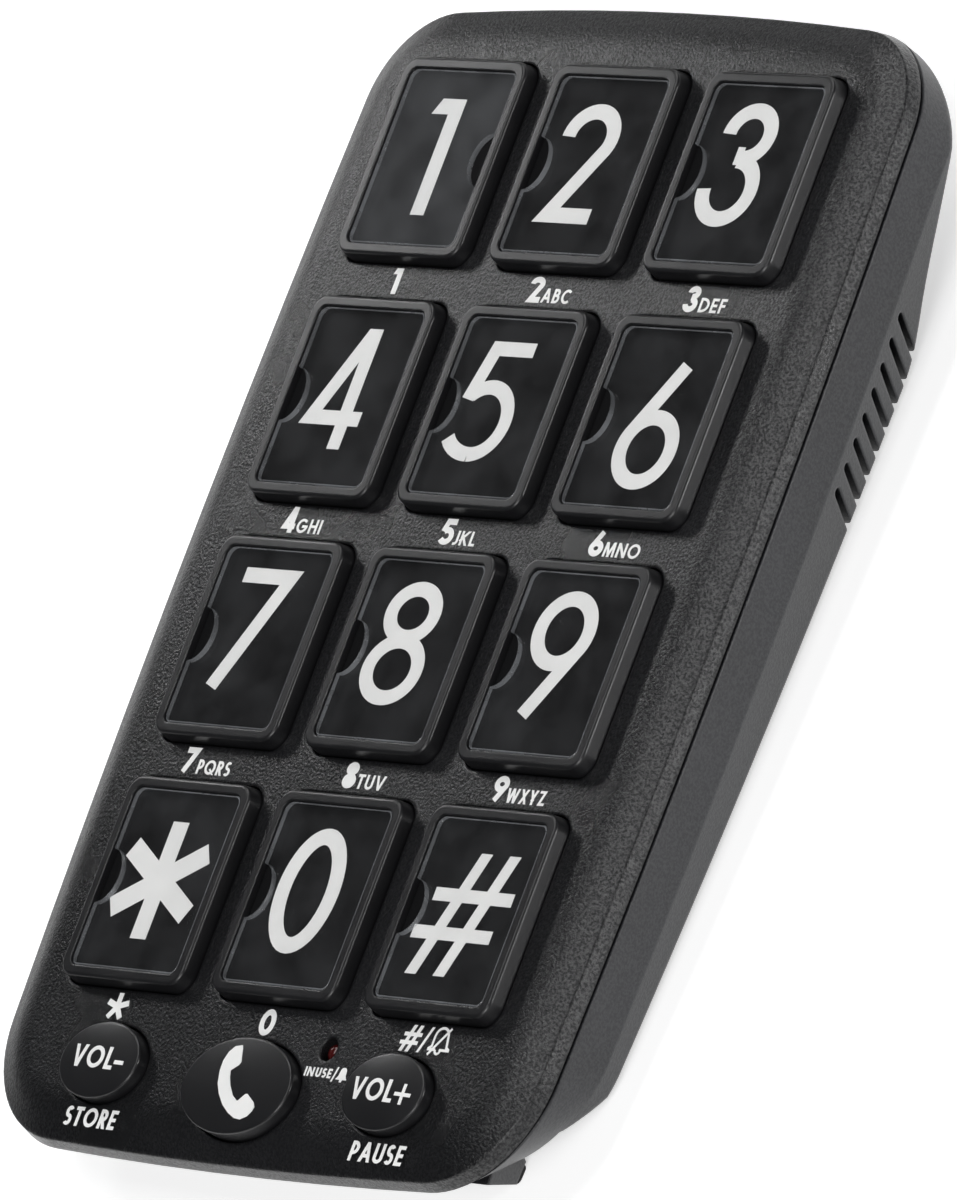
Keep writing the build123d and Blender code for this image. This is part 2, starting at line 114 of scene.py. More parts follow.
def ramp(tree, source, low, high, low_value, high_value):
    """Maps a noise value between two stops to a value between two others."""
    remap = tree.nodes.new("ShaderNodeMapRange")
    remap.inputs["From Min"].default_value = low
    remap.inputs["From Max"].default_value = high
    remap.inputs["To Min"].default_value = low_value
    remap.inputs["To Max"].default_value = high_value
    tree.links.new(source, remap.inputs["Value"])
    return remap.outputs["Result"]


def tint(tree, source, low_colour, high_colour):
    """Colour between two others, by a noise value."""
    mix = tree.nodes.new("ShaderNodeMix")
    mix.data_type = "RGBA"
    mix.inputs["A"].default_value = (*low_colour, 1)
    mix.inputs["B"].default_value = (*high_colour, 1)
    tree.links.new(source, mix.inputs["Factor"])
    return mix.outputs["Result"]


def maths(tree, operation, first, *others):
    """Value worked out from a socket and from further sockets or numbers."""
    node = tree.nodes.new("ShaderNodeMath")
    node.operation = operation
    tree.links.new(first, node.inputs[0])
    for i, other in enumerate(others):
        if isinstance(other, float):
            node.inputs[i + 1].default_value = other
        else:
            tree.links.new(other, node.inputs[i + 1])
    return node.outputs[0]


def blend(tree, share, first, second):
    """Two shaders mixed, with the second one's share of the light."""
    mix = tree.nodes.new("ShaderNodeMixShader")
    tree.links.new(share, mix.inputs[0])
    tree.links.new(first, mix.inputs[1])
    tree.links.new(second, mix.inputs[2])
    return mix.outputs[0]


def bump(tree, shader, source, depth, edge_radius=0.0):
    """Relief of a depth, on edges softened to a radius."""
    node = tree.nodes.new("ShaderNodeBump")
    node.inputs["Distance"].default_value = depth
    node.inputs["Strength"].default_value = 1.0
    tree.links.new(source, node.inputs["Height"])
    if edge_radius:
        soft = tree.nodes.new("ShaderNodeBevel")
        soft.samples = 8
        soft.inputs["Radius"].default_value = edge_radius
        tree.links.new(soft.outputs["Normal"], node.inputs["Normal"])
    tree.links.new(node.outputs["Normal"], shader.inputs["Normal"])


def grained_plastic(name, colour, roughness, grain, depth, speckle, edge_radius):
    """Black moulded plastic with a spark-eroded grain of a size and depth, whose pits are duller."""
    material, tree, shader = new_material(name)
    fine = noise(tree, 1 / grain, 3.0, 0.6)
    patches = noise(tree, patch_scale, 3.0, 0.55)
    darker = tuple(0.8 * c for c in colour)
    lighter = tuple(1.25 * c for c in colour)
    shade = tint(tree, ramp(tree, patches, 0.35, 0.65, 0, 1), darker, lighter)
    dullness = ramp(tree, patches, 0.3, 0.7, roughness - 0.02, roughness + 0.03)
    gloss = ramp(tree, fine, 0.4, 0.6, 0.5 - speckle, 0.5 + speckle)
    tree.links.new(shade, shader.inputs["Base Color"])
    tree.links.new(dullness, shader.inputs["Roughness"])
    tree.links.new(gloss, shader.inputs["Specular IOR Level"])
    bump(tree, shader, fine, depth, edge_radius)
    return material


def smooth_plastic(name, colour, roughness, gloss=0.5, edge_radius=0.0):
    """Plain moulded plastic with faint flow marks."""
    material, tree, shader = new_material(name)
    flow = noise(tree, flow_scale, 4.0, 0.6)
    lighter = tuple(1.2 * c for c in colour)
    dullness = ramp(tree, flow, 0.3, 0.7, roughness - 0.04, roughness + 0.04)
    tree.links.new(tint(tree, flow, colour, lighter), shader.inputs["Base Color"])
    tree.links.new(dullness, shader.inputs["Roughness"])
    shader.inputs["Specular IOR Level"].default_value = gloss
    bump(tree, shader, noise(tree, mould_scale), fine_relief, edge_radius)
    return material


def clear_plastic(name, least_haze, most_haze):
    """Thin clear cover that mirrors more at a slant, with a cloudy grey haze over it; much haze, as on the covers'
    narrow sides, is a painted highlight.
    """
    material, tree, shader = new_material(name)
    shader.inputs["Base Color"].default_value = (0.5, 0.52, 0.55, 1)
    shader.inputs["Roughness"].default_value = 0.6
    through = tree.nodes.new("ShaderNodeBsdfTransparent")
    mirror = tree.nodes.new("ShaderNodeBsdfGlossy")
    mirror.inputs["Roughness"].default_value = 0.08
    facing = tree.nodes.new("ShaderNodeLayerWeight")
    facing.inputs["Blend"].default_value = 0.5
    steepness = maths(tree, "POWER", facing.outputs["Facing"], 5.0)
    mirrored = maths(tree, "MULTIPLY_ADD", steepness, 1 - head_on_mirror, head_on_mirror)
    polished = blend(tree, mirrored, through.outputs[0], mirror.outputs[0])
    haze = ramp(tree, noise(tree, haze_scale, 5.0, 0.62), 0.35, 0.7, least_haze, most_haze)
    clouded = blend(tree, haze, polished, shader.outputs[0])
    tree.links.new(clouded, tree.nodes["Material Output"].inputs["Surface"])
    return material


def metal(name, colour, roughness):
    """Bare metal with a fine brushed relief."""
    material, tree, shader = new_material(name)
    shader.inputs["Base Color"].default_value = (*colour, 1)
    shader.inputs["Metallic"].default_value = 1.0
    grain = noise(tree, brush_scale, 2.0)
    dullness = ramp(tree, grain, 0.3, 0.7, roughness - 0.05, roughness + 0.08)
    tree.links.new(dullness, shader.inputs["Roughness"])
    bump(tree, shader, grain, fine_relief)
    return material


casing = grained_plastic("casing_plastic", (0.0075, 0.0076, 0.0085), 0.28, 0.0004, 0.00012, 0.22, 0.0007)
rear = grained_plastic("rear_plastic", (0.013, 0.0135, 0.016), 0.36, 0.0004, 0.00004, 0.08, 0.0007)
key_plastic = smooth_plastic("key_plastic", (0.009, 0.009, 0.01), 0.33, 0.5, 0.0003)
card_stock = smooth_plastic("card_stock", (0.004, 0.004, 0.0045), 0.8, 0.1)
cover_plastic = clear_plastic("clear_cover", 0.0, 0.02)
# Key 1's cover has more grey haze mixed in than the other covers, so it reads greyer
greyer_cover = clear_plastic("greyer_cover", 0.02, 0.06)
# Much grey haze for the covers' narrow sides, a painted highlight that shows their edges as thin bright lines
rim_highlight_cover = clear_plastic("rim_highlight_cover", 0.25, 0.5)
ink = smooth_plastic("white_ink", (0.84, 0.84, 0.83), 0.55, 0.3)
rubber = smooth_plastic("rubber", (0.012, 0.012, 0.012), 0.75, 0.3)
lamp_lens = smooth_plastic("lamp_lens", (0.05, 0.004, 0.004), 0.15)
board_resist = smooth_plastic("board_resist", (0.02, 0.11, 0.045), 0.4)
chip_plastic = smooth_plastic("chip_plastic", (0.012, 0.012, 0.013), 0.5)
mat_rubber = smooth_plastic("mat_rubber", (0.2, 0.2, 0.21), 0.6)
basket = smooth_plastic("speaker_black", (0.02, 0.02, 0.02), 0.5)
steel = metal("screw_steel", (0.55, 0.55, 0.57), 0.3)
gold = metal("contact_gold", (0.85, 0.65, 0.3), 0.25)

slot_materials = {
    "casing": casing, "key": key_plastic, "card": card_stock, "clear_cover": cover_plastic, "lamp": lamp_lens,
    "board": board_resist, "components": chip_plastic, "key_mat": mat_rubber, "speaker": basket,
    "steel": steel, "socket": chip_plastic, "contacts": gold, "rubber": rubber,
}


def dress(node, material):
    """Gives a CAD node its one material."""
    materials = nodes[node].data.materials
    materials.clear()
    materials.append(material)


def paint_rim_highlight(node):
    """Gives the narrow sides of a clear cover a greyer, cloudier material than its faces, a painted highlight that
    shows its edges as thin bright lines.
    """
    flat_enough = 0.95
    data = nodes[node].data
    data.materials.append(rim_highlight_cover)
    for polygon in data.polygons:
        if abs(polygon.normal.dot(face_up)) < flat_enough:
            polygon.material_index = 1


for part in subparts:
    dress(part["node"], slot_materials[part["material_slot"]])
dress("rear_cover", rear)
# Key 1's cover, greyer than the others
dress("window_1", greyer_cover)
# Painted highlight along the narrow sides of every clear cover
for part in subparts:
    if part["material_slot"] == "clear_cover":
        paint_rim_highlight(part["node"])

# Signs: each is a set of flat strokes in its own box, drawn with a pen of its own width, and is cut
# off level with the top and bottom of the box. A piece of a stroke is a list of corners


def arc(cx, cy, rx, ry, start, end):
    """Points along an ellipse, between two angles in degrees."""
    degrees_a_step = 8
    steps = max(3, round(abs(end - start) / degrees_a_step))
    angles = [math.radians(start + (end - start) * i / steps) for i in range(steps + 1)]
    return [(cx + rx * math.cos(a), cy + ry * math.sin(a)) for a in angles]


def ribbon(points, width):
    """Four-sided pieces along a stroke, mitred at its corners."""
    points = [Vector(p) for p in points]
    count = len(points)
    closed = (points[0] - points[-1]).length < 1e-6
    runs = [(points[i + 1] - points[i]).normalized() for i in range(count - 1)]
    sides = []
    for i in range(count):
        before = runs[i - 1] if i > 0 or closed else runs[0]
        after = runs[i % len(runs)] if i < len(runs) or closed else runs[-1]
        side_before = Vector((-before.y, before.x))
        side_after = Vector((-after.y, after.x))
        sides.append((side_before + side_after) / (1 + side_before.dot(side_after)) * width / 2)
    over = [point + side for point, side in zip(points, sides)]
    under = [point - side for point, side in zip(points, sides)]
    return [[over[i], under[i], under[i + 1], over[i + 1]] for i in range(count - 1)]


def slant(x0, y0, x1, y1, width):
    """Straight stroke that runs on past both its ends, for cutting off level."""
    start, end = Vector((x0, y0)), Vector((x1, y1))
    extra = (end - start).normalized() * width
    return ribbon([start - extra, end + extra], width)


def spoke(cx, cy, angle, length, width):
    """Stroke outwards from a point."""
    a = math.radians(angle)
    return ribbon([(cx, cy), (cx + length * math.cos(a), cy + length * math.sin(a))], width)


def bowl(left, right, low, high, width):
    """Half-round stroke that opens to the left, between two heights of its middle line."""
    rise = (high - low) / 2
    turn = right - rise * 0.9
    bend = arc(turn, (low + high) / 2, right - turn, rise, 90, -90)
    return ribbon([(left, high)] + bend + [(left, low)], width)


def middle_lines(wide, high, pen):
    """Middle lines of strokes along a box's left, right, bottom and top, and the box's own middle."""
    half = pen / 2
    return half, wide - half, half, high - half, wide / 2, high / 2


def digit_strokes(sign, wide, high, pen):
    """Pieces of one digit, in its box."""
    left, right, low, top, centre, mid = middle_lines(wide, high, pen)
    if sign == "0":
        return ribbon(arc(centre, mid, centre - left, mid - low, 0, 360), pen)
    if sign == "1":
        flag = [(0, high - pen * 1.02), (wide, high - pen * 1.02), (wide, high), (0.22 * wide, high)]
        return ribbon([(right, 0), (right, high)], pen * 1.05) + [[Vector(p) for p in flag]]
    if sign == "2":
        reach, rise = (wide - pen) / 2, 0.28 * high - left
        turn = arc(right - reach, top - rise, reach, rise, 180, -38)
        return ribbon(turn + [(pen, low)], pen) + ribbon([turn[-1], (pen, low), (wide, low)], pen)
    if sign == "3":
        upper = arc(0.53 * wide, 0.745 * high, 0.45 * wide - left, 0.255 * high - low, 180, -90)
        lower = arc(centre, 0.3 * high, centre - left, 0.3 * high - low, 90, -180)
        bar = ribbon([(0.43 * wide, 0.572 * high), (0.55 * wide, 0.572 * high)], 1.15 * pen)
        return ribbon(upper, pen) + ribbon(lower, pen) + bar
    if sign == "4":
        x, y = 0.74 * wide, 0.255 * high
        return (ribbon([(x, 0), (x, high)], pen)
                + ribbon([(wide, y), (pen * 0.94, y), (x, high + 0.1 * pen)], pen))
    if sign == "5":
        x, y = 0.49 * wide, 0.34 * high
        reach, rise = 0.51 * wide - left, 0.34 * high - low
        flag = ribbon([(0.95 * wide, top), (0.33 * wide, top), (0.16 * wide, 0.51 * high)], pen)
        return (flag + ribbon(arc(x, y, reach, rise, 134, -90), pen)
                + ribbon(arc(x, y, reach * 1.2, rise, -90, -147), pen))
    if sign == "6":
        rise = 0.31 * high - low
        hook = arc(centre, left + rise, centre - left, rise, 180, 143)
        return (ribbon(arc(centre, low + rise, centre - left, rise, 0, 360), pen)
                + ribbon(hook + [(0.68 * wide, high - 0.25 * pen)], pen))
    if sign == "7":
        return ribbon([(0, top), (wide - 0.83 * pen, top), (0.14 * wide, 0.2 * pen)], pen)
    if sign == "8":
        upper, lower = 0.255 * high - low, 0.29 * high - low
        return (ribbon(arc(centre, top - upper, 0.455 * wide - left, upper, 0, 360), pen)
                + ribbon(arc(centre, low + lower, centre - left, lower, 0, 360), pen))
    # A 9 is a 6 turned upside down
    six = digit_strokes("6", wide, high, pen)
    return [[Vector((wide - p.x, high - p.y)) for p in piece] for piece in six]


def early_letter_strokes(sign, wide, high, pen):
    """Pieces of one capital letter from A to M, in its box."""
    left, right, low, top, centre, mid = middle_lines(wide, high, pen)
    stem = ribbon([(left, 0), (left, high)], pen)
    top_bar = ribbon([(left, top), (wide, top)], pen)
    mid_bar = ribbon([(left, mid), (0.92 * wide, mid)], pen)
    low_bar = ribbon([(left, low), (wide, low)], pen)
    if sign == "A":
        bar = ribbon([(0.22 * wide, 0.32 * high), (0.78 * wide, 0.32 * high)], pen)
        return slant(left, 0, centre, high, pen) + slant(right, 0, centre, high, pen) + bar
    if sign == "B":
        return (stem + bowl(left, 0.9 * wide - left, 0.54 * high, top, pen)
                + bowl(left, right, low, 0.54 * high, pen))
    if sign == "C":
        return ribbon(arc(0.55 * wide, mid, 0.55 * wide - left, mid - low, 48, 312), pen)
    if sign == "D":
        bend = arc(0.3 * wide, mid, 0.7 * wide - left, mid - low, 90, -90)
        return stem + ribbon([(left, top)] + bend + [(left, low)], pen)
    if sign == "E":
        return stem + top_bar + mid_bar + low_bar
    if sign == "F":
        return stem + top_bar + mid_bar
    if sign == "G":
        bar = ribbon([(centre, 0.46 * high), (wide, 0.46 * high)], pen)
        return ribbon(arc(centre, mid, centre - left, mid - low, 45, 355), pen) + bar
    if sign == "H":
        return stem + ribbon([(right, 0), (right, high)], pen) + ribbon([(left, mid), (right, mid)], pen)
    if sign == "I":
        return ribbon([(centre, 0), (centre, high)], pen)
    if sign == "J":
        hook = arc(right - 0.3 * high + low, 0.3 * high, 0.3 * high - low, 0.3 * high - low, 0, -90)
        return ribbon([(right, high), (right, 0.3 * high)] + hook + [(0, low)], pen)
    if sign == "K":
        return (stem + slant(left, 0.42 * high, 0.93 * wide, high, pen)
                + slant(0.3 * wide, 0.58 * high, right, 0, pen))
    if sign == "L":
        return stem + low_bar
    # M
    return (slant(left, 0, 0.17 * wide, high, pen) + slant(0.19 * wide, high, centre, 0.1 * high, pen)
            + slant(0.81 * wide, high, centre, 0.1 * high, pen) + slant(right, 0, 0.83 * wide, high, pen))


def late_letter_strokes(sign, wide, high, pen):
    """Pieces of one capital letter from N to Z, in its box."""
    left, right, low, top, centre, mid = middle_lines(wide, high, pen)
    stem = ribbon([(left, 0), (left, high)], pen)
    ring = ribbon(arc(centre, mid, centre - left, mid - low, 0, 360), pen)
    if sign == "N":
        return stem + ribbon([(right, 0), (right, high)], pen) + slant(left, high, right, 0, pen)
    if sign == "O":
        return ring
    if sign == "P":
        return stem + bowl(left, right, 0.42 * high, top, pen)
    if sign == "Q":
        return ring + slant(0.6 * wide, 0.3 * high, 0.9 * wide, 0.02 * high, 0.7 * pen)
    if sign == "R":
        return (stem + bowl(left, 0.95 * wide - left, 0.45 * high, top, pen)
                + slant(0.42 * wide, 0.45 * high, right, 0, pen))
    if sign == "S":
        rise = (top - low) / 4
        return (ribbon(arc(centre, top - rise, 0.47 * wide - left, rise, 35, 270), pen)
                + ribbon(arc(centre, low + rise, centre - left, rise, 90, -145), pen))
    if sign == "T":
        return ribbon([(0, top), (wide, top)], pen) + ribbon([(centre, 0), (centre, top)], pen)
    if sign == "U":
        turn = centre - left
        bend = arc(centre, low + turn, turn, turn, 180, 360)
        return ribbon([(left, high)] + bend + [(right, high)], pen)
    if sign == "V":
        return slant(left, high, centre, 0, pen) + slant(right, high, centre, 0, pen)
    if sign == "W":
        return (slant(left, high, 0.29 * wide, 0, pen) + slant(centre, high, 0.29 * wide, 0, pen)
                + slant(centre, high, 0.71 * wide, 0, pen) + slant(right, high, 0.71 * wide, 0, pen))
    if sign == "X":
        return slant(left, 0, right, high, pen) + slant(left, high, right, 0, pen)
    if sign == "Y":
        return (slant(left, high, centre, 0.42 * high, pen) + slant(right, high, centre, 0.42 * high, pen)
                + ribbon([(centre, 0), (centre, mid)], pen))
    # Z
    return ribbon([(0, top), (wide - 0.9 * pen, top), (0.9 * pen, low), (wide, low)], pen)


def mark_strokes(sign, wide, high, pen):
    """Pieces of one mark that is neither a digit nor a letter, in its box."""
    left, right, _, _, centre, mid = middle_lines(wide, high, pen)
    made = []
    if sign == "six_arms":
        made += ribbon([(centre, 0), (centre, high)], pen)
        for angle in (30, 150, 210, 330):
            made += spoke(centre, mid, angle, 0.52 * high, pen)
    elif sign == "*":
        for i in range(5):
            made += spoke(centre, 0.48 * high, 90 + 72 * i, 0.54 * high, pen)
    elif sign == "#":
        lean = 0.355 * high
        for foot in (0.15, 0.475):
            made += slant(foot * wide, 0, foot * wide + lean, high, pen)
        for level, shift in ((0.34, 0), (0.65, 0.09)):
            made += ribbon([(shift * wide, level * high), ((0.9 + shift) * wide, level * high)], pen * 0.92)
    elif sign == "-":
        made += ribbon([(0, 0.36 * high), (wide, 0.36 * high)], pen)
    elif sign == "+":
        made += ribbon([(0, 0.46 * high), (wide, 0.46 * high)], pen)
        made += ribbon([(centre, 0), (centre, 0.95 * high)], pen)
    elif sign == "/":
        made += slant(left, 0, right, high, pen)
    return made


def strokes(sign, wide, high, pen):
    """Pieces of one sign, in its box."""
    if sign.isdigit():
        return digit_strokes(sign, wide, high, pen)
    if sign.isalpha():
        return (early_letter_strokes if sign <= "M" else late_letter_strokes)(sign, wide, high, pen)
    return mark_strokes(sign, wide, high, pen)


def cut_level(piece, height):
    """Part of a convex piece between the bottom and the top of its box."""
    for limit, sense in ((0.0, 1), (height, -1)):
        kept = []
        for i, p in enumerate(piece):
            q = piece[(i + 1) % len(piece)]
            p_in = sense * (p.y - limit) >= -1e-9
            q_in = sense * (q.y - limit) >= -1e-9
            if p_in:
                kept.append(p)
            if p_in != q_in:
                kept.append(p + (q - p) * ((limit - p.y) / (q.y - p.y)))
        piece = kept
    return piece


def written(sign, x, y, width, height, pen, stretch=1.0):
    """Pieces of one sign with its box's lower left corner at x, y, and upright strokes stretched in width."""
    pieces = [cut_level(piece, height) for piece in strokes(sign, width / stretch, height, pen)]
    return [[Vector((x + p.x * stretch, y + p.y)) for p in piece] for piece in pieces if len(piece) > 2]


# Widths of the capital letters as shares of their height
letter_widths = {
    "A": 0.72, "B": 0.54, "C": 0.74, "D": 0.68, "E": 0.46, "F": 0.43, "G": 0.84, "H": 0.62, "I": 0.2,
    "J": 0.34, "K": 0.58, "L": 0.42, "M": 0.84, "N": 0.7, "O": 0.88, "P": 0.5, "Q": 0.9, "R": 0.53,
    "S": 0.5, "T": 0.52, "U": 0.6, "V": 0.7, "W": 0.98, "X": 0.62, "Y": 0.62, "Z": 0.58,
}


def word(text, x, y, width, height, pen):
    """Pieces of a word of capitals, fitted between its two ends."""
    stretch, gap = 1.15, 0.14
    widths = [letter_widths[sign] * height for sign in text]
    space = gap * height
    scale = width / (sum(widths) + space * (len(text) - 1))
    made = []
    for sign, own in zip(text, widths):
        made += written(sign, x, y, own * scale, height, pen, stretch)
        x += (own + space) * scale
    return made


def area(piece):
    """Area inside a piece's corners, above zero where they run anticlockwise."""
    return sum(p.x * q.y - q.x * p.y for p, q in zip(piece, piece[1:] + piece[:1])) / 2


def merged(pieces):
    """Points and triangles of the area that the pieces cover together."""
    least = 1e-5
    points, outlines = [], []
    for piece in pieces:
        if abs(area(piece)) < least:
            continue
        if area(piece) < 0:
            piece = piece[::-1]
        outlines.append(list(range(len(points), len(points) + len(piece))))
        points += piece
    found, _, triangles, _, _, covered = delaunay_2d_cdt(points, [], outlines, 1, least)
    triangles = [triangle for triangle, origin in zip(triangles, covered) if origin]
    used = sorted({i for triangle in triangles for i in triangle})
    number = {old: new for new, old in enumerate(used)}
    return [found[i] for i in used], [[number[i] for i in triangle] for triangle in triangles]


def levels_on(node, points, level):
    """Levels above the face at which rays from above meet a node, or the level given where they miss."""
    well_above = 5
    data = nodes[node].data
    tree = BVHTree.FromPolygons([v.co for v in data.vertices], [p.vertices for p in data.polygons])
    levels = []
    for point in points:
        hit = tree.ray_cast(place(point.x, point.y, level + well_above), -face_up)[0]
        levels.append(level if hit is None else (hit.dot(face_up) - face_level) / MM)
    return levels


def printed(name, pieces, body, level, over=None, thickness=0.02):
    """Thin closed print, a third of it sunk, at a level above the face or laid on the top of a node."""
    points, triangles = merged(pieces)
    levels = levels_on(over, points, level) if over else [level] * len(points)
    top = [place(p.x, p.y, z + thickness) for p, z in zip(points, levels)]
    low = [place(p.x, p.y, z - thickness / 2) for p, z in zip(points, levels)]
    count = len(points)
    edges = {(a, b) for t in triangles for a, b in zip(t, t[1:] + t[:1])}
    faces = list(triangles) + [[i + count for i in reversed(t)] for t in triangles]
    faces += [[b, a, a + count, b + count] for a, b in sorted(edges) if (b, a) not in edges]
    mesh = bpy.data.meshes.new(name)
    mesh.from_pydata(top + low, [], faces)
    mesh.materials.append(ink)
    obj = bpy.data.objects.new(name, mesh)
    bpy.context.scene.collection.objects.link(obj)
    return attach(obj, body)


# Figures on the cards: key, sign, left and bottom from the middle of the card, width, height and pen
card_level = level_of("card_5")
figures = [
    ("1", "1", -4.6, -7.975, 6.1, 16.8, 2.2),
    ("2", "2", -7.6, -7.975, 11.4, 17.1, 2.2),
    ("3", "3", -8.05, -7.275, 11.75, 17.6, 2.2),
    ("4", "4", -8.1, -7.125, 12.6, 17.3, 2.1),
    ("5", "5", -8.5, -7.525, 12.3, 17.1, 2.05),
    ("6", "6", -5.1, -9.725, 12.2, 18.1, 2.15),
    ("7", "7", -6.7, -7.375, 11.9, 17.5, 2.15),
    ("8", "8", -7.3, -7.475, 12.2, 17.5, 2.1),
    ("9", "9", -7.45, -7.675, 12.2, 18.1, 2.15),
    ("star", "six_arms", -8.6, -8.025, 16.5, 16.6, 3.1),
    ("0", "0", -7.5, -7.925, 12.6, 17.6, 2.3),
    ("hash", "#", -8.9, -8.825, 17.4, 17.1, 2.0),
]
for key, sign, left, low, width, height, pen in figures:
    x, y = card_middle(key)
    stretch = 1.2 if sign.isdigit() else 1.05
    pieces = written(sign, x + left, y + low, width, height, pen, stretch)
    printed("figure_" + key, pieces, "key_" + key, card_level)

# Labels on the face below the keys, from the middle of the key's card: for each row of keys the labels'
# foot, and for each label its key, sign, left and width, then its letters, their left and their width
label_height = 3.7
label_pen = 0.84
hash_pen = 0.58
letters_height = 2.05
letters_rise = 0.08
letters_pen = 0.37
label_rows = [
    (-18.975, [("1", "1", -1.1, 1.75, "", 0, 0), ("2", "2", -3.9, 2.85, "ABC", -0.75, 5.75),
               ("3", "3", -3.55, 2.75, "DEF", -0.25, 5.15)]),
    (-18.925, [("4", "4", -4.55, 2.9, "GHI", -1.2, 5.05), ("5", "5", -3.05, 2.75, "JKL", 0.0, 4.4),
               ("6", "6", -3.95, 2.75, "MNO", -0.9, 7.1)]),
    (-18.925, [("7", "7", -5.75, 2.8, "PQRS", -2.7, 6.8), ("8", "8", -3.9, 2.65, "TUV", -0.9, 5.55),
               ("9", "9", -4.8, 2.8, "WXYZ", -1.75, 7.75)]),
    (-19.025, [("star", "*", -2.6, 4.4, "", 0, 0), ("0", "0", -2.0, 3.05, "", 0, 0),
               ("hash", "#", -4.4, 3.9, "", 0, 0)]),
]
for foot, labels in label_rows:
    for key, sign, left, width, letters, letters_left, letters_width in labels:
        x, y = card_middle(key)
        pen = hash_pen if sign == "#" else label_pen
        pieces = written(sign, x + left, y + foot, width, label_height, pen, 1.1)
        if letters:
            letters_x = x + letters_left
            letters_y = y + foot + letters_rise
            pieces += word(letters, letters_x, letters_y, letters_width, letters_height, letters_pen)
        printed("label_" + key, pieces, "casing", 0.0)

printed("label_store", word("STORE", -33.6, -86.1, 10.6, 2.7, 0.5), "casing", 0.0)
printed("label_pause", word("PAUSE", 25.0, -86.4, 10.6, 2.75, 0.5), "casing", 0.0)

# Right half of a bell's outline, from its crown to its rim
bell_half = [(0.35, 3.25), (0.75, 3.1), (1.05, 2.7), (1.2, 2.1), (1.35, 1.2), (1.75, 0.55), (2.0, 0.4),
             (2.0, 0.1)]


def bell(x, y, scale):
    """Four-sided pieces of a bell, from its rim up."""
    right = [Vector((x + p * scale, y + q * scale)) for p, q in bell_half]
    left = [Vector((x - p * scale, y + q * scale)) for p, q in bell_half]
    return [[left[i], left[i - 1], right[i - 1], right[i]] for i in range(len(bell_half) - 1, 0, -1)]


def in_use_label():
    """The words under the lamp, a stroke and a bell with its clapper."""
    foot, height, pen = -75.75, 1.3, 0.28
    clapper = [(17.65, -75.75), (18.25, -75.75), (18.15, -76.15), (17.75, -76.15)]
    made = word("IN", 10.35, foot, 1.85, height, pen) + word("USE", 12.6, foot, 3.15, height, pen)
    made += written("/", 16.0, -76.15, 0.85, 2.05, 0.3)
    made += bell(17.95, -75.85, 0.53)
    return made + [[Vector(p) for p in clapper]]


def silent_label():
    """A stroke, and a bell drawn in lines and crossed out."""
    pen = 0.38
    rim_pen = 0.36
    clapper_pen = 0.34
    left_side = [(32.4, -70.3), (33.05, -69.9), (33.05, -68.5)]
    crown = arc(34.3, -68.4, 1.2, 1.05, 170, 30)
    right_side = [(35.55, -68.2), (36.0, -70.0), (36.6, -70.3)]
    clapper = arc(34.45, -70.4, 0.5, 0.5, 180, 360)
    made = written("/", 30.4, -70.95, 2.0, 3.6, 0.45)
    made += ribbon(left_side + crown + right_side, pen)
    made += ribbon([(32.35, -70.35), (33.9, -70.35)], rim_pen)
    made += ribbon([(34.7, -70.35), (36.7, -70.35)], rim_pen)
    made += ribbon([(33.95, -70.35)] + clapper + [(34.95, -70.3)], clapper_pen)
    return made + ribbon([(32.7, -71.1), (35.8, -67.3)], pen)


printed("label_in_use", in_use_label(), "casing", 0.0)
printed("label_silent", silent_label(), "casing", 0.0)

# Signs on the three oval keys, laid on their domes
oval_print = 0.07


def volume_sign(mark, x, y):
    """VOL with a minus or plus after it, from its lower left corner."""
    letters = word("VOL", x, y, 8.55, 3.1, 0.55)
    if mark == "-":
        return letters + written("-", x + 8.75, y, 1.7, 3.1, 0.55)
    return letters + written("+", x + 8.8, y - 0.1, 2.95, 3.0, 0.5)


for key, mark, x, y in (("volume_down_key", "-", -33.95, -78.6), ("volume_up_key", "+", 23.1, -78.75)):
    printed("sign_" + key, volume_sign(mark, x, y), key, level_of(key), key, oval_print)

# Handset seen from the side: its back from the ear end to the mouth end, and its front the same way
handset_back = [(-1.3, -73.2), (-2.6, -73.45), (-3.4, -74.3), (-3.78, -75.6), (-3.65, -77.0), (-3.05, -78.8),
                (-2.05, -80.2), (-0.6, -81.6), (1.0, -82.6), (2.4, -83.15), (3.6, -83.25), (4.8, -82.7),
                (5.45, -81.9), (5.62, -81.35)]
handset_front = [(-1.0, -73.6), (-0.1, -75.55), (-0.3, -76.0), (-1.5, -76.85), (-1.1, -77.8), (-0.3, -79.0),
                 (0.8, -80.2), (1.95, -80.85), (2.2, -80.75), (3.1, -79.85), (3.5, -79.75), (5.2, -80.75)]
handset = [Vector(p) for p in handset_back + handset_front[::-1]]
printed("sign_call_key", [handset], "call_key", level_of("call_key"), "call_key", oval_print)

# Stage: a pale floor that keeps the shadow and shows white round the phone
floor_glow = 0.55
floor_half = 3.0


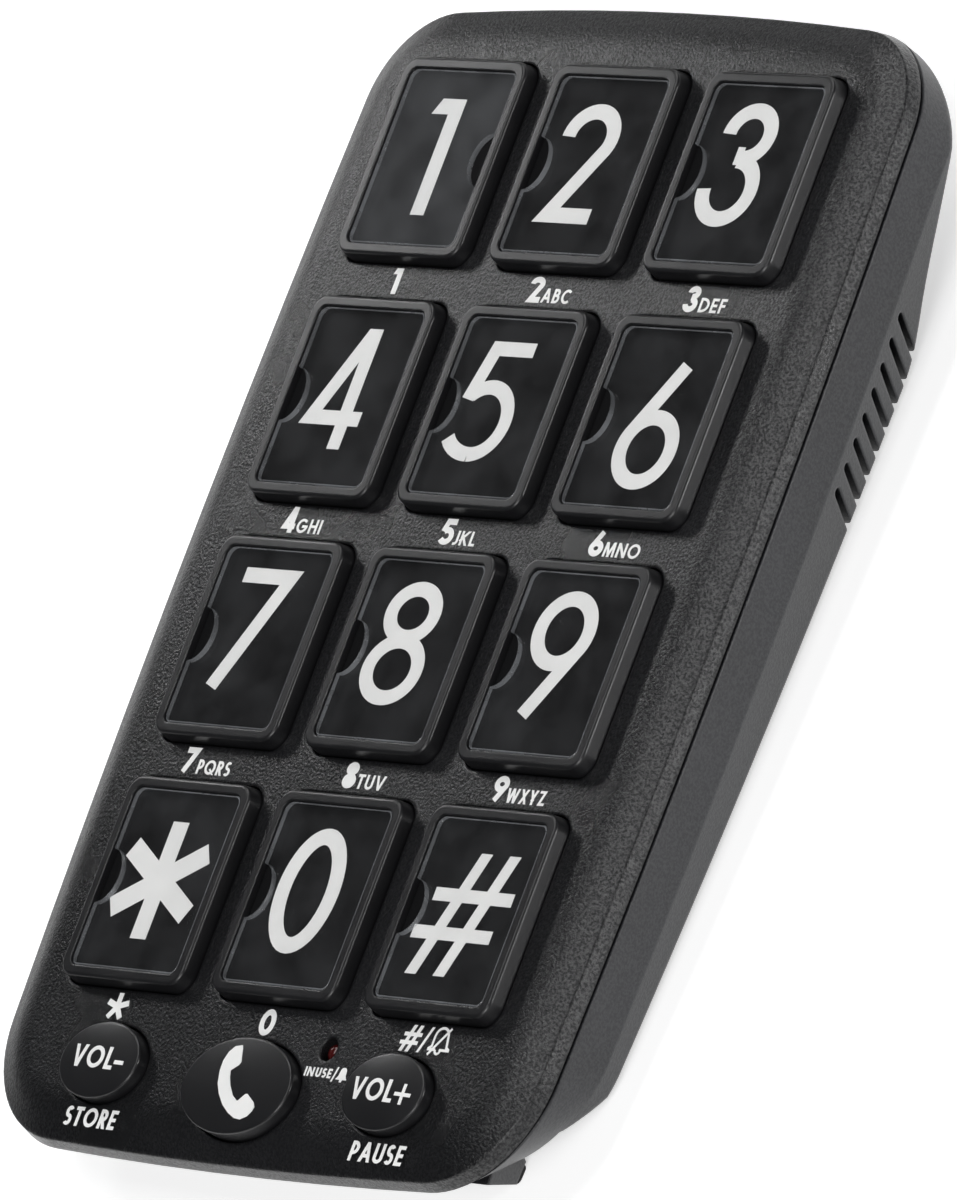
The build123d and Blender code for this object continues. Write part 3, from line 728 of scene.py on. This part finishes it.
def floor_material():
    """Pale floor that glows only where the camera, a mirror or a clear cover shows it."""
    material, tree, shader = new_material("pale_floor")
    shader.inputs["Base Color"].default_value = (0.82, 0.82, 0.82, 1)
    shader.inputs["Roughness"].default_value = 0.9
    paths = tree.nodes.new("ShaderNodeLightPath")
    seen = maths(tree, "MAXIMUM", paths.outputs["Is Camera Ray"], paths.outputs["Is Glossy Ray"])
    seen = maths(tree, "MAXIMUM", seen, paths.outputs["Is Transmission Ray"])
    glow = tree.nodes.new("ShaderNodeEmission")
    glow.inputs["Color"].default_value = (1, 1, 1, 1)
    tree.links.new(maths(tree, "MULTIPLY", seen, floor_glow), glow.inputs["Strength"])
    add = tree.nodes.new("ShaderNodeAddShader")
    tree.links.new(shader.outputs[0], add.inputs[0])
    tree.links.new(glow.outputs[0], add.inputs[1])
    tree.links.new(add.outputs[0], tree.nodes["Material Output"].inputs["Surface"])
    return material


floor_mesh = bpy.data.meshes.new("floor")
floor_corners = [(x * floor_half, y * floor_half, 0) for x, y in ((-1, -1), (1, -1), (1, 1), (-1, 1))]
floor_mesh.from_pydata(floor_corners, [], [(0, 1, 2, 3)])
floor_mesh.materials.append(floor_material())
floor = bpy.data.objects.new("floor", floor_mesh)
bpy.context.scene.collection.objects.link(floor)

# Light
world = bpy.data.worlds.new("studio")
bpy.context.scene.world = world
world.use_nodes = True
background = world.node_tree.nodes["Background"]
background.inputs["Color"].default_value = (0.95, 0.97, 1.0, 1)
background.inputs["Strength"].default_value = 0.06


def turn_to(forward, up):
    """Rotation of a lamp or camera that looks along forward, with up towards its top."""
    back = -forward.normalized()
    right = up.cross(back).normalized()
    return Matrix((right, back.cross(right), back)).transposed()


def soft_lamp(name, x, y, z, width, height, power):
    """Area lamp at a place in the keypad's frame, in millimetres, aimed at the middle of the keypad."""
    lamp = bpy.data.lights.new(name, "AREA")
    lamp.shape = "RECTANGLE"
    lamp.size = width
    lamp.size_y = height
    lamp.energy = power
    obj = bpy.data.objects.new(name, lamp)
    bpy.context.scene.collection.objects.link(obj)
    obj.location = place(x, y, z)
    obj.rotation_euler = turn_to(place(0, 0) - obj.location, Vector((0.01, 1, 0.02))).to_euler()


soft_lamp("near_light", -350, 160, 176, 0.04, 0.13, 0.26)
soft_lamp("top_light", -260, 900, 700, 0.5, 0.5, 3.0)
soft_lamp("overhead_light", -60, 230, 1000, 0.16, 0.8, 3.2)
soft_lamp("side_light", 700, 170, 30, 0.4, 0.08, 2.5)
soft_lamp("fill_light", 680, -820, 1050, 0.7, 0.7, 12.0)

# Camera, at the place that fits the key frames in the photograph
camera_place = (1855.8, -554.6, 1447.2)
camera_back = Vector((0.76658, -0.22659, 0.60084))
camera_top = Vector((-0.05193, 0.91073, 0.40972))
photo_height = 1200
focal_pixels = 18650


def direction(vector):
    """Direction of the row frame, from the keypad's frame."""
    return face_right * vector.x + face_along * vector.y + face_up * vector.z


camera_data = bpy.data.cameras.new("camera")
camera_data.sensor_width = 36.0
camera_data.lens = focal_pixels / photo_height * camera_data.sensor_width
camera_data.clip_start = 0.5
camera_data.clip_end = 20.0
camera = bpy.data.objects.new("camera", camera_data)
bpy.context.scene.collection.objects.link(camera)
camera.location = place(*camera_place)
camera.rotation_euler = turn_to(-direction(camera_back), direction(camera_top)).to_euler()
bpy.context.scene.camera = camera
bpy.context.scene.view_settings.view_transform = "Standard"
